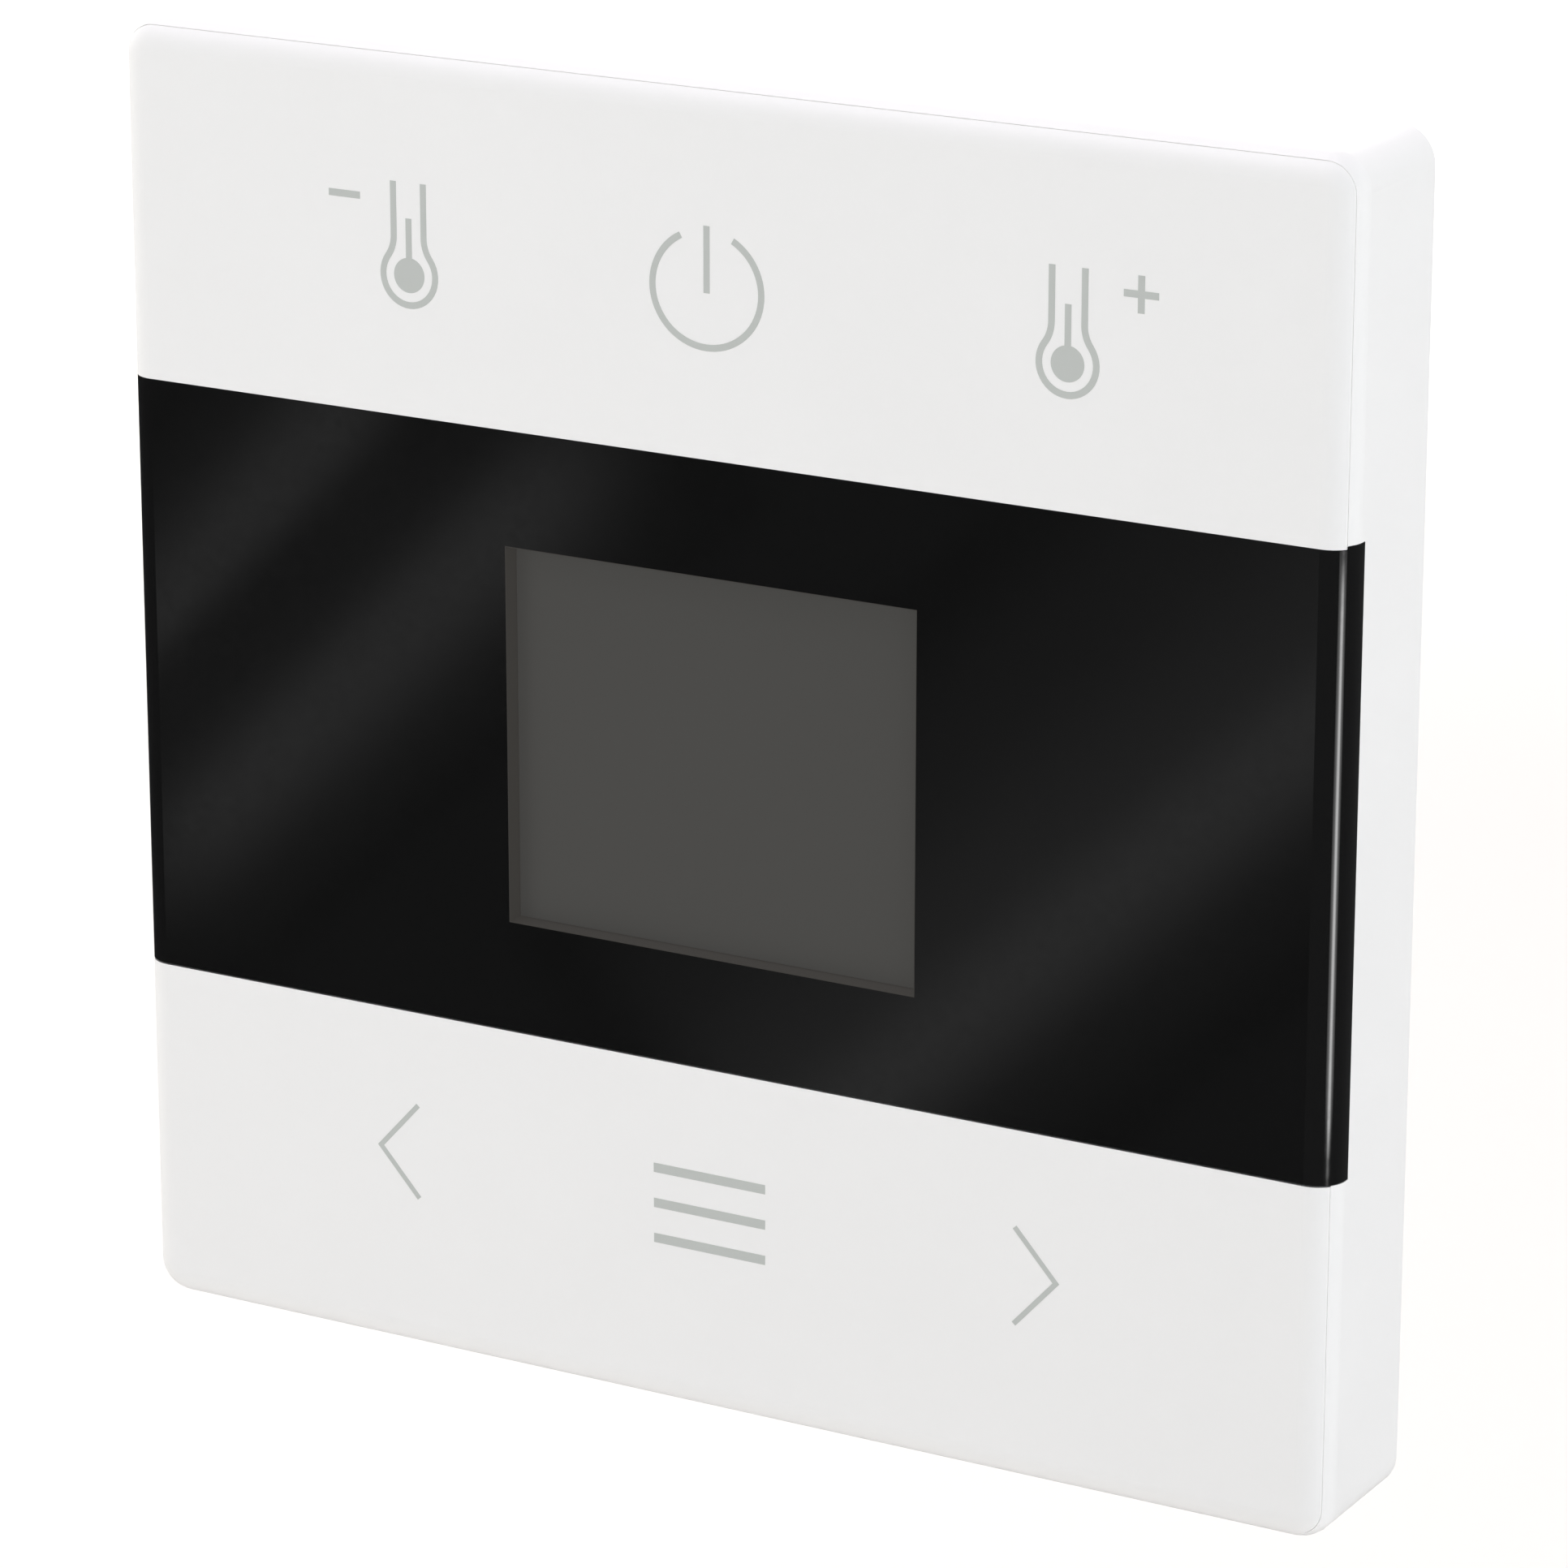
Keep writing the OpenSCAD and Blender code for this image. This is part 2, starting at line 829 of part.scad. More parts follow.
module rear_housing() {
    inner_w = rear_w - 2 * rear_t;
    color("#e4e4e2")
        difference() {
            union() {
                difference() {
                    union() {
                        along_y(board_back, rim_y)
                            round_rect(2 * cavity - 0.2, 2 * cavity - 0.2, 1);
                        rear_block();
                        for (x = [-1, 1], z = [-1, 1])
                            rod(x * screw_xy, z * screw_xy, corner_boss_r, floor_back, rim_y);
                    }
                    along_y(board_back - cut, -rear_t)
                        round_rect(inner_w, inner_w, 1.2);
                }
                along_y(-pocket_depth, -rear_t / 2)
                    translate([0, pocket_z])
                        square([pocket_w + 2 * pocket_wall, pocket_h + 2 * pocket_wall], center = true);
                for (side = [-1, 1])
                    rod(side * insert_x, 0, insert_r + insert_wall + 1.2, -insert_l - 0.6, -rear_t / 2);
            }
            along_y(-pocket_depth - cut, cut)
                translate([0, pocket_z])
                    square([pocket_w, pocket_h], center = true);
            for (side = [-1, 1]) {
                rod(side * insert_x, 0, insert_r + insert_wall, -insert_l, cut);
                for (z = [-clip_z, clip_z])
                    clip_pocket(side, z);
            }
            for (x = [-1, 1], z = [-1, 1]) {
                rod(x * screw_xy, z * screw_xy, screw_r + screw_play, floor_back - cut, rim_y + cut);
                rod(x * screw_xy, z * screw_xy, screw_head_r + screw_play, rim_y - screw_seat, rim_y + cut);
            }
            rod(button_x, button_z, button_r + button_fit, -rear_t - cut, cut);
            rod(button_x, light_z, light_r + 0.05, -rear_t - cut, cut);
        }
}

// Shallow recess in the housing's side for a spring clip
module clip_pocket(side, z) {
    face = rear_w / 2;
    mirror([side < 0 ? 1 : 0, 0, 0])
        block([face - clip_recess, rim_y + 0.4, z - clip_w / 2 - 0.1],
              [face + cut, clip_end_y + 0.05, z + clip_w / 2 + 0.1]);
}

module housing_screw(x, z) {
    head_y = rim_y - screw_seat;
    difference() {
        union() {
            rod(x, z, screw_r, floor_front - 1, head_y);
            rod(x, z, screw_head_r, head_y, head_y + screw_head_t);
        }
        for (turn = [0, 90])
            translate([x, head_y + screw_head_t, z])
                rotate([0, turn, 0])
                    cube([2, 1, 0.5], center = true);
    }
}

module housing_screws() {
    color("silver")
        for (x = [-screw_xy, screw_xy], z = [-screw_xy, screw_xy])
            housing_screw(x, z);
}

module threaded_inserts() {
    color("goldenrod")
        for (side = [-1, 1])
            difference() {
                rod(side * insert_x, 0, insert_r + insert_wall, -insert_l, 0);
                rod(side * insert_x, 0, insert_r, -insert_l - cut, cut);
            }
}

// Bowed leaf of spring steel, seated in its recess at both ends
module spring_clip(side, z) {
    foot = rear_w / 2 - clip_recess;
    leaf = 0.3;
    crest = 1.2;
    start_y = rim_y + 0.45;
    crest_y = (start_y + clip_end_y) / 2;
    mirror([side < 0 ? 1 : 0, 0, 0])
        along_z(z - clip_w / 2, z + clip_w / 2)
            polygon([
                [foot, start_y], [foot + leaf, start_y], [foot + leaf, start_y + 0.7],
                [foot + leaf + crest, crest_y], [foot + leaf, clip_end_y - 0.7],
                [foot + leaf, clip_end_y], [foot, clip_end_y], [foot, clip_end_y - 0.8],
                [foot + crest, crest_y], [foot, start_y + 0.8]
            ]);
}

module spring_clips() {
    color("silver")
        for (side = [-1, 1], z = [-clip_z, clip_z])
            spring_clip(side, z);
}

front_frame();
lens();
lens_tape();
display_window();
display_gasket();
display_cell();
light_guide();
display_tray();
backlight_leds();
display_flex();
flex_connector();
upper_key();
lower_key();
upper_pivot_pin();
lower_pivot_pin();
upper_carrier();
lower_carrier();
guide_screws();
upper_switch_mat();
lower_switch_mat();
main_board();
controller_chip();
interface_chips();
buffer_capacitors();
supply_inductor();
temperature_sensor();
terminal_block();
terminal_pins();
programming_switch();
programming_button();
programming_light();
rear_housing();
housing_screws();
threaded_inserts();
spring_clips();
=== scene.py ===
import json
import math

import bmesh
import bpy
from mathutils import Matrix, Vector


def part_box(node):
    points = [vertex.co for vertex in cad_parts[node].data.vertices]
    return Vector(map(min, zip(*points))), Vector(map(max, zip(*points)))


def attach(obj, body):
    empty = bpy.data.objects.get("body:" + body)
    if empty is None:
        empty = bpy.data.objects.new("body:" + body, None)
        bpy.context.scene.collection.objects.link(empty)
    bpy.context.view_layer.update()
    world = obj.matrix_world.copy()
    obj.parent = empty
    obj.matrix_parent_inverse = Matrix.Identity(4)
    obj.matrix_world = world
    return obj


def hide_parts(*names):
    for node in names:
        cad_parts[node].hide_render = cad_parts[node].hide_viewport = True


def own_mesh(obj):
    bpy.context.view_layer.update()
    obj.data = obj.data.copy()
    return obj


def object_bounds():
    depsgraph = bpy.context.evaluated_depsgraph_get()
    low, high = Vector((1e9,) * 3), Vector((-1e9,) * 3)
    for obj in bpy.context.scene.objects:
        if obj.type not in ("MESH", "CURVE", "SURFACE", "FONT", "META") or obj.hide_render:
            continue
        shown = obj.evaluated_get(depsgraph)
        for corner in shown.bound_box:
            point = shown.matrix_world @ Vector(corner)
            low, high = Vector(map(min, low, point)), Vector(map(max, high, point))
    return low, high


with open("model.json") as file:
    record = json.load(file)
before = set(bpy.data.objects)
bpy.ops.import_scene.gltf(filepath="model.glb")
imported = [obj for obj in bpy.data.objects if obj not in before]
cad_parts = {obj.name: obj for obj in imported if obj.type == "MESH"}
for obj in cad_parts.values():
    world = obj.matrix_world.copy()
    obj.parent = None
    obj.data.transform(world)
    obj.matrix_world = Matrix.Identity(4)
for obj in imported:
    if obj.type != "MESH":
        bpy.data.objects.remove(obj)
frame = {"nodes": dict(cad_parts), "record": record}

MM = 0.001
CAD_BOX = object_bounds()

# Places taken from the frame
FACE_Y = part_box("lens")[0].y
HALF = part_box("front_frame")[1].x

# Camera: turned to the right of the face and above it
CAMERA_AIM = Vector((3.454 * MM, FACE_Y, -0.038 * MM))
CAMERA_AZIMUTH = math.radians(29.635)
CAMERA_ELEVATION = math.radians(17.447)
CAMERA_ROLL = math.radians(0.038)
CAMERA_DISTANCE = 0.26398
CAMERA_LENS = 154.359
CAMERA_SENSOR = 36.0
TOWARDS_CAMERA = Vector((
    math.sin(CAMERA_AZIMUTH) * math.cos(CAMERA_ELEVATION),
    -math.cos(CAMERA_AZIMUTH) * math.cos(CAMERA_ELEVATION),
    math.sin(CAMERA_ELEVATION),
))
CAMERA_PLACE = CAMERA_AIM + TOWARDS_CAMERA * CAMERA_DISTANCE

# Floor: how far below the part it lies, and its radius
FLOOR_DROP = 40 * MM
FLOOR_R = 0.62

# Outline of the front: its corners, the lip round the key plates, and the gap inside the lip,
# whose walls get a painted glow that lifts the shade in the gap
CORNER_R = 1.5 * MM
LIP_T = 0.26 * MM
GAP = HALF - LIP_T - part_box("upper_key")[1].x
# strength of the painted glow on the gap walls, which brightens their shade
GAP_PAINTED_GLOW = 0.11


# ---------------------------------------------------------------- camera and stage

def make_camera():
    data = bpy.data.cameras.new("camera")
    data.lens = CAMERA_LENS
    data.sensor_width = CAMERA_SENSOR
    data.clip_start = 0.01
    data.clip_end = 20.0
    camera = bpy.data.objects.new("camera", data)
    camera.location = CAMERA_PLACE
    camera.rotation_mode = "QUATERNION"
    turn = (-TOWARDS_CAMERA).to_track_quat("-Z", "Y")
    camera.rotation_quaternion = turn @ Matrix.Rotation(CAMERA_ROLL, 3, "Z").to_quaternion()
    bpy.context.scene.collection.objects.link(camera)
    bpy.context.scene.camera = camera


def link(piece):
    bpy.context.scene.collection.objects.link(piece)
    return piece


def even_turns(count):
    return [math.tau * i / count for i in range(count)]


def make_floor():
    """Round floor that ends before the softboxes and brightens into the white backdrop."""
    level = CAD_BOX[0].z - FLOOR_DROP
    mesh = bpy.data.meshes.new("floor")
    rim = [(FLOOR_R * math.cos(t), FLOOR_R * math.sin(t), level) for t in even_turns(96)]
    mesh.from_pydata(rim, [], [tuple(range(len(rim)))])
    floor = link(bpy.data.objects.new("floor", mesh))
    mesh.materials.append(floor_material())
    floor.visible_glossy = False


def floor_material():
    """Pale matt floor with a light of its own that rises from the middle to the rim."""
    material, nodes, links, shader = new_material("studio_floor")
    shader.inputs["Roughness"].default_value = 0.9
    shader.inputs["Specular IOR Level"].default_value = 0.1
    shade = noise(nodes, links, 6.0, 3)
    tint = mix_colours(nodes, links, shade, (0.955, 0.938, 0.905), (0.97, 0.953, 0.92))
    links.new(tint, shader.inputs["Base Color"])
    place = nodes.new("ShaderNodeTexCoord")
    away = nodes.new("ShaderNodeVectorMath")
    away.operation = "LENGTH"
    links.new(place.outputs["Object"], away.inputs[0])
    rise = nodes.new("ShaderNodeMapRange")
    rise.interpolation_type = "SMOOTHSTEP"
    rise.inputs["From Min"].default_value = 0.2
    rise.inputs["From Max"].default_value = FLOOR_R - 0.02
    rise.inputs["To Max"].default_value = 0.9
    links.new(away.outputs["Value"], rise.inputs["Value"])
    shader.inputs["Emission Color"].default_value = (1, 1, 1, 1)
    links.new(rise.outputs["Result"], shader.inputs["Emission Strength"])
    return material


def make_world():
    """White backdrop. Gloss sees a darker room, bright overhead and behind, grey on the right."""
    world = bpy.data.worlds.new("studio")
    bpy.context.scene.world = world
    world.use_nodes = True
    nodes, links = world.node_tree.nodes, world.node_tree.links
    nodes.clear()
    out = nodes.new("ShaderNodeOutputWorld")
    place = nodes.new("ShaderNodeTexCoord")
    height = nodes.new("ShaderNodeSeparateXYZ")
    links.new(place.outputs["Generated"], height.inputs[0])
    room = nodes.new("ShaderNodeValToRGB")
    room.color_ramp.interpolation = "EASE"
    low, high = room.color_ramp.elements
    low.position, low.color = 0.5, (0.03, 0.03, 0.031, 1)
    high.position, high.color = 0.95, (0.9, 0.9, 0.9, 1)
    lifted = nodes.new("ShaderNodeMath")
    lifted.operation = "MULTIPLY_ADD"
    lifted.inputs[1].default_value = 0.5
    lifted.inputs[2].default_value = 0.5
    links.new(height.outputs["Z"], lifted.inputs[0])
    links.new(lifted.outputs[0], room.inputs["Fac"])
    both = room.outputs["Color"]
    for spans in ((("X", -0.42, -0.3, 0.055),), (("Y", 0.05, 0.4, 0.7), ("Z", -0.2, 0.1, 1.0))):
        share = None
        for axis, start, end, top in spans:
            step = nodes.new("ShaderNodeMapRange")
            step.inputs["From Min"].default_value = start
            step.inputs["From Max"].default_value = end
            step.inputs["To Min"].default_value = 0.0
            step.inputs["To Max"].default_value = top
            links.new(height.outputs[axis], step.inputs["Value"])
            if share is None:
                share = step.outputs["Result"]
            else:
                product = nodes.new("ShaderNodeMath")
                product.operation = "MULTIPLY"
                links.new(share, product.inputs[0])
                links.new(step.outputs["Result"], product.inputs[1])
                share = product.outputs[0]
        total = nodes.new("ShaderNodeVectorMath")
        links.new(both, total.inputs[0])
        links.new(share, total.inputs[1])
        both = total.outputs["Vector"]
    gloss = nodes.new("ShaderNodeBackground")
    links.new(both, gloss.inputs["Color"])
    fill = nodes.new("ShaderNodeBackground")
    fill.inputs["Color"].default_value = (1.0, 0.975, 0.945, 1)
    fill.inputs["Strength"].default_value = 0.35
    backdrop = nodes.new("ShaderNodeBackground")
    backdrop.inputs["Color"].default_value = (1, 1, 1, 1)
    backdrop.inputs["Strength"].default_value = 1.05
    path = nodes.new("ShaderNodeLightPath")
    glossy_mix = nodes.new("ShaderNodeMixShader")
    links.new(path.outputs["Is Glossy Ray"], glossy_mix.inputs["Fac"])
    links.new(fill.outputs[0], glossy_mix.inputs[1])
    links.new(gloss.outputs[0], glossy_mix.inputs[2])
    camera_mix = nodes.new("ShaderNodeMixShader")
    links.new(path.outputs["Is Camera Ray"], camera_mix.inputs["Fac"])
    links.new(glossy_mix.outputs[0], camera_mix.inputs[1])
    links.new(backdrop.outputs[0], camera_mix.inputs[2])
    links.new(camera_mix.outputs[0], out.inputs["Surface"])


def softbox(name, place, width, height, watts, colour=(1, 1, 1), in_gloss=True):
    """Rectangular light that faces the object."""
    data = bpy.data.lights.new(name, "AREA")
    data.shape = "RECTANGLE"
    data.size = width
    data.size_y = height
    data.energy = watts
    data.color = colour
    lamp = link(bpy.data.objects.new(name, data))
    lamp.location = place
    lamp.rotation_mode = "QUATERNION"
    lamp.rotation_quaternion = (-Vector(place)).to_track_quat("-Z", "Y")
    lamp.visible_camera = False
    lamp.visible_glossy = in_gloss


def glow_material(name, strength, rise, fall, end_fade):
    """Glowing card, brightest along a line and fading out on both sides and at both ends."""
    material = bpy.data.materials.new(name)
    material.use_nodes = True
    nodes, links = material.node_tree.nodes, material.node_tree.links
    nodes.clear()
    out = nodes.new("ShaderNodeOutputMaterial")
    glow = nodes.new("ShaderNodeEmission")
    place = nodes.new("ShaderNodeUVMap")
    split = nodes.new("ShaderNodeSeparateXYZ")
    links.new(place.outputs["UV"], split.inputs[0])
    across = nodes.new("ShaderNodeValToRGB")
    across.color_ramp.interpolation = "EASE"
    stops = across.color_ramp.elements
    stops[0].position, stops[0].color = 0.0, (0, 0, 0, 1)
    stops[1].position, stops[1].color = 1.0, (0, 0, 0, 1)
    for position, value in (*rise, *fall):
        stop = stops.new(position)
        stop.color = (value, value, value, 1)
    links.new(split.outputs["Y"], across.inputs["Fac"])
    along = nodes.new("ShaderNodeValToRGB")
    along.color_ramp.interpolation = "EASE"
    ends = along.color_ramp.elements
    ends[0].position, ends[0].color = 0.0, (0, 0, 0, 1)
    ends[1].position, ends[1].color = 1.0, (0, 0, 0, 1)
    for position in (end_fade, 1 - end_fade):
        stop = ends.new(position)
        stop.color = (1, 1, 1, 1)
    links.new(split.outputs["X"], along.inputs["Fac"])
    product = nodes.new("ShaderNodeMath")
    product.operation = "MULTIPLY"
    links.new(across.outputs["Color"], product.inputs[0])
    links.new(along.outputs["Color"], product.inputs[1])
    scaled = nodes.new("ShaderNodeMath")
    scaled.operation = "MULTIPLY"
    scaled.inputs[1].default_value = strength
    links.new(product.outputs[0], scaled.inputs[0])
    links.new(scaled.outputs[0], glow.inputs["Strength"])
    links.new(glow.outputs[0], out.inputs["Surface"])
    return material


def glow_card(name, corners, material):
    """Card that only gloss sees. Its corners run low start, low end, high end, high start."""
    mesh = bpy.data.meshes.new(name)
    mesh.from_pydata([tuple(c) for c in corners], [], [(0, 1, 2, 3)])
    layer = mesh.uv_layers.new(name="UVMap")
    for loop, uv in zip(layer.data, ((0, 0), (1, 0), (1, 1), (0, 1))):
        loop.uv = uv
    mesh.materials.append(material)
    card = link(bpy.data.objects.new(name, mesh))
    card.visible_camera = False
    card.visible_diffuse = False
    card.visible_transmission = False
    card.visible_shadow = False


def mirrored(x, z, reach):
    """Where a light stands to be seen mirrored at one point of the lens's flat front."""
    spot = Vector((x, FACE_Y, z))
    ray = spot - CAMERA_PLACE
    return spot + Vector((ray.x, -ray.y, ray.z)) * (reach / ray.y)


def make_streak(name, start, end, low, high, strength, rise, fall, end_fade=0.25):
    """Soft strip light, given by the line and the width that its reflection has on the lens."""
    reach = 0.22
    start, end = Vector(start) * MM, Vector(end) * MM
    along = (end - start).normalized()
    up = Vector((-along.y, along.x))
    corners = [
        start + up * low * MM, end + up * low * MM, end + up * high * MM, start + up * high * MM]
    glow_card(name, [mirrored(c.x, c.y, reach) for c in corners],
              glow_material(name, strength, rise, fall, end_fade))


def make_edge_strip():
    """Upright strip light that draws a fine line down the lens's rounded right end."""
    angle = math.radians(44.5)
    radius = 1.2 * MM
    reach = 0.45
    normal = Vector((math.sin(angle), -math.cos(angle), 0))
    spot = Vector((HALF - radius, FACE_Y + radius, 0)) + normal * radius
    ray = (spot - CAMERA_PLACE).normalized()
    out = ray - 2 * ray.dot(normal) * normal
    centre = spot + out * reach
    side = out.cross(Vector((0, 0, 1))).normalized()
    half_w, low, high = 0.14 * side, Vector((0, 0, -0.0325)), Vector((0, 0, 0.0342))
    corners = [
        centre - half_w + low, centre - half_w + high, centre + half_w + high, centre + half_w + low]
    glow_card("edge_strip", corners,
              glow_material("edge_strip", 11.5, [(0.25, 0.2)], [(0.5, 1.0), (0.75, 0.2)], 0.06))


def make_lights():
    make_world()
    softbox("top_box", (-0.15, -0.05, 0.55), 0.7, 0.5, 2.5, (1.0, 0.96, 1.03))
    softbox("right_box", (0.66, -0.36, 0.12), 0.4, 0.4, 1.03, (0.85, 1.0, 1.11), in_gloss=False)
    softbox("side_box", (0.75, 0.1, 0.05), 0.5, 0.5, 2.4, (1.0, 1.0, 1.015), in_gloss=False)
    softbox("left_box", (-0.55, -0.6, -0.04), 0.4, 0.3, 2.4, (0.95, 1.0, 0.98), in_gloss=False)
    softbox("left_rim_box", (-0.7, 0.14, 0.05), 0.4, 0.5, 2.7, (1.0, 1.0, 0.97), in_gloss=False)
    softbox("rear_box", (-0.35, 0.75, 0.3), 0.5, 0.5, 1.3)
    one_peak = ([(0.2, 0.15)], [(0.5, 1.0), (0.8, 0.15)])
    make_streak("streak_left", (-32.5, -4.0), (-12.5, 17.0), -6.0, 6.0, 0.35, *one_peak)
    make_streak("streak_middle", (-30.5, -12.2), (-1.5, 16.0), -6.5, 6.5, 0.37, *one_peak)
    make_streak("streak_right", (0.5, -18.5), (36.0, 15.0), -8.0, 14.0, 0.42,
                [(0.18, 0.15), (0.36, 1.0)], [(0.5, 0.45), (0.75, 0.2)], 0.1)
    make_edge_strip()


# ---------------------------------------------------------------- material pieces

def new_material(name):
    material = bpy.data.materials.new(name)
    material.use_nodes = True
    nodes, links = material.node_tree.nodes, material.node_tree.links
    return material, nodes, links, nodes["Principled BSDF"]


def noise(nodes, links, scale, detail, stretch=(1, 1, 1)):
    """Noise in the object's own space. The scale is in features a metre."""
    place = nodes.new("ShaderNodeTexCoord")
    sized = nodes.new("ShaderNodeMapping")
    sized.inputs["Scale"].default_value = stretch
    texture = nodes.new("ShaderNodeTexNoise")
    texture.inputs["Scale"].default_value = scale
    texture.inputs["Detail"].default_value = detail
    links.new(place.outputs["Object"], sized.inputs["Vector"])
    links.new(sized.outputs["Vector"], texture.inputs["Vector"])
    return texture.outputs["Fac"]


def mix_colours(nodes, links, factor, first, second):
    """Blend of two colours. Each is a colour value or another node's output."""
    mix = nodes.new("ShaderNodeMix")
    mix.data_type = "RGBA"
    links.new(factor, mix.inputs["Factor"])
    for socket, colour in (("A", first), ("B", second)):
        target = [s for s in mix.inputs if s.name == socket and s.type == "RGBA"][0]
        if hasattr(colour, "is_linked"):
            links.new(colour, target)
        else:
            target.default_value = (*colour, 1)
    return [s for s in mix.outputs if s.type == "RGBA"][0]


def ranged(nodes, links, factor, low, high):
    """Noise, most of which lies between 0.3 and 0.7, spread from low to high."""
    spread = nodes.new("ShaderNodeMapRange")
    spread.inputs["From Min"].default_value = 0.3
    spread.inputs["From Max"].default_value = 0.7
    spread.inputs["To Min"].default_value = low
    spread.inputs["To Max"].default_value = high
    links.new(factor, spread.inputs["Value"])
    return spread.outputs["Result"]


def add_bump(nodes, links, shader, height, depth):
    bump = nodes.new("ShaderNodeBump")
    bump.inputs["Strength"].default_value = 1.0
    bump.inputs["Distance"].default_value = depth
    links.new(height, bump.inputs["Height"])
    links.new(bump.outputs["Normal"], shader.inputs["Normal"])


def shaded(colour, amount):
    return tuple(min(1.0, c * amount) for c in colour)


def moulded(name, colour, roughness, grain=0.18, depth=0.0015, mottle=0.012, specular=0.5):
    """Moulded plastic: a fine eroded grain, and a slow drift in tone and gloss. Sizes in mm."""
    material, nodes, links, shader = new_material(name)
    drift = noise(nodes, links, 1 / (9 * MM), 3)
    fine = noise(nodes, links, 1 / (grain * MM), 3)
    tone = mix_colours(nodes, links, drift, shaded(colour, 1 - mottle), shaded(colour, 1 + mottle))
    links.new(tone, shader.inputs["Base Color"])
    handled = noise(nodes, links, 1 / (4 * MM), 4)
    worn = nodes.new("ShaderNodeMath")
    links.new(ranged(nodes, links, fine, roughness - 0.04, roughness + 0.04), worn.inputs[0])
    links.new(ranged(nodes, links, handled, -0.03, 0.03), worn.inputs[1])
    links.new(worn.outputs[0], shader.inputs["Roughness"])
    shader.inputs["Specular IOR Level"].default_value = specular
    add_bump(nodes, links, shader, fine, depth * MM)
    return material


def turned_metal(name, colour, roughness, stretch=(1, 1, 1), line=0.05, depth=0.001, metallic=0.85):
    """Metal with fine tool lines along the axes that are left unstretched."""
    material, nodes, links, shader = new_material(name)
    lines = noise(nodes, links, 1 / (line * MM), 2, stretch)
    patches = noise(nodes, links, 1 / (0.8 * MM), 4)
    tone = mix_colours(nodes, links, patches, shaded(colour, 0.86), shaded(colour, 1.06))
    links.new(tone, shader.inputs["Base Color"])
    shader.inputs["Metallic"].default_value = metallic
    dulled = ranged(nodes, links, lines, roughness - 0.08, roughness + 0.1)
    links.new(dulled, shader.inputs["Roughness"])
    add_bump(nodes, links, shader, lines, depth * MM)
    return material


def white_plastic():
    """Satin white. The walls of the gap inside the lip get a faint painted glow that lifts their shade.
    """
    material = moulded("white_satin_plastic", (0.855, 0.851, 0.845), 0.42, specular=0.4)
    nodes, links = material.node_tree.nodes, material.node_tree.links
    shader = nodes["Principled BSDF"]
    corner = HALF - CORNER_R
    place = nodes.new("ShaderNodeTexCoord")
    last = place.outputs["Object"]
    for operation, value in (("ABSOLUTE", (0, 0, 0)), ("MULTIPLY", (1, 0, 1)),
                             ("SUBTRACT", (corner, 0, corner)), ("MAXIMUM", (0, 0, 0))):
        step = nodes.new("ShaderNodeVectorMath")
        step.operation = operation
        step.inputs[1].default_value = value
        links.new(last, step.inputs[0])
        last = step.outputs["Vector"]
    reach = nodes.new("ShaderNodeVectorMath")
    reach.operation = "LENGTH"
    links.new(last, reach.inputs[0])
    gap = nodes.new("ShaderNodeMath")
    gap.operation = "COMPARE"
    gap.inputs[1].default_value = CORNER_R - LIP_T - GAP / 2
    gap.inputs[2].default_value = GAP / 2 + 0.004 * MM
    links.new(reach.outputs["Value"], gap.inputs[0])
    # painted glow: the gap walls emit a little light in place of the shade that falls in the gap
    shader.inputs["Emission Color"].default_value = (GAP_PAINTED_GLOW, GAP_PAINTED_GLOW, GAP_PAINTED_GLOW, 1)
    links.new(gap.outputs[0], shader.inputs["Emission Strength"])
    return material


MATERIALS = {}


def material_for(slot):
    if slot not in MATERIALS:
        MATERIALS[slot] = RECIPES[slot]()
    return MATERIALS[slot]


def lens_material():
    """Polished black. The walls of the window have the warm grey of the bare resin, with a painted glow
    that lifts their shade evenly.
    """
    material, nodes, links, shader = new_material("black_lens")
    place = nodes.new("ShaderNodeTexCoord")
    split = nodes.new("ShaderNodeSeparateXYZ")
    links.new(place.outputs["Object"], split.inputs[0])
    inside = []
    window_half_w = PANE_HALF_W + 0.07 * MM
    window_half_h = PANE_HALF_H + 0.07 * MM
    for axis, reach in (("X", window_half_w), ("Z", window_half_h)):
        size = nodes.new("ShaderNodeMath")
        size.operation = "ABSOLUTE"
        links.new(split.outputs[axis], size.inputs[0])
        within = nodes.new("ShaderNodeMath")
        within.operation = "LESS_THAN"
        within.inputs[1].default_value = reach
        links.new(size.outputs[0], within.inputs[0])
        inside.append(within.outputs[0])
    both = nodes.new("ShaderNodeMath")
    both.operation = "MULTIPLY"
    links.new(inside[0], both.inputs[0])
    links.new(inside[1], both.inputs[1])
    haze = noise(nodes, links, 1 / (6 * MM), 3)
    black = mix_colours(nodes, links, haze, (0.0048, 0.0048, 0.0048), (0.0056, 0.0057, 0.0057))
    links.new(mix_colours(nodes, links, both.outputs[0], black, (0.013, 0.012, 0.011)),
              shader.inputs["Base Color"])
    # painted glow on the window walls, which hides the shade that falls in the recess
    shader.inputs["Emission Color"].default_value = (0.035, 0.0328, 0.0297, 1)
    links.new(both.outputs[0], shader.inputs["Emission Strength"])
    polish = noise(nodes, links, 1 / (0.4 * MM), 2)
    gloss = ranged(nodes, links, polish, 0.045, 0.075)
    walls = nodes.new("ShaderNodeMath")
    walls.operation = "MULTIPLY_ADD"
    walls.inputs[1].default_value = 0.5
    links.new(both.outputs[0], walls.inputs[0])
    links.new(gloss, walls.inputs[2])
    links.new(walls.outputs[0], shader.inputs["Roughness"])
    shader.inputs["IOR"].default_value = 1.5
    return material


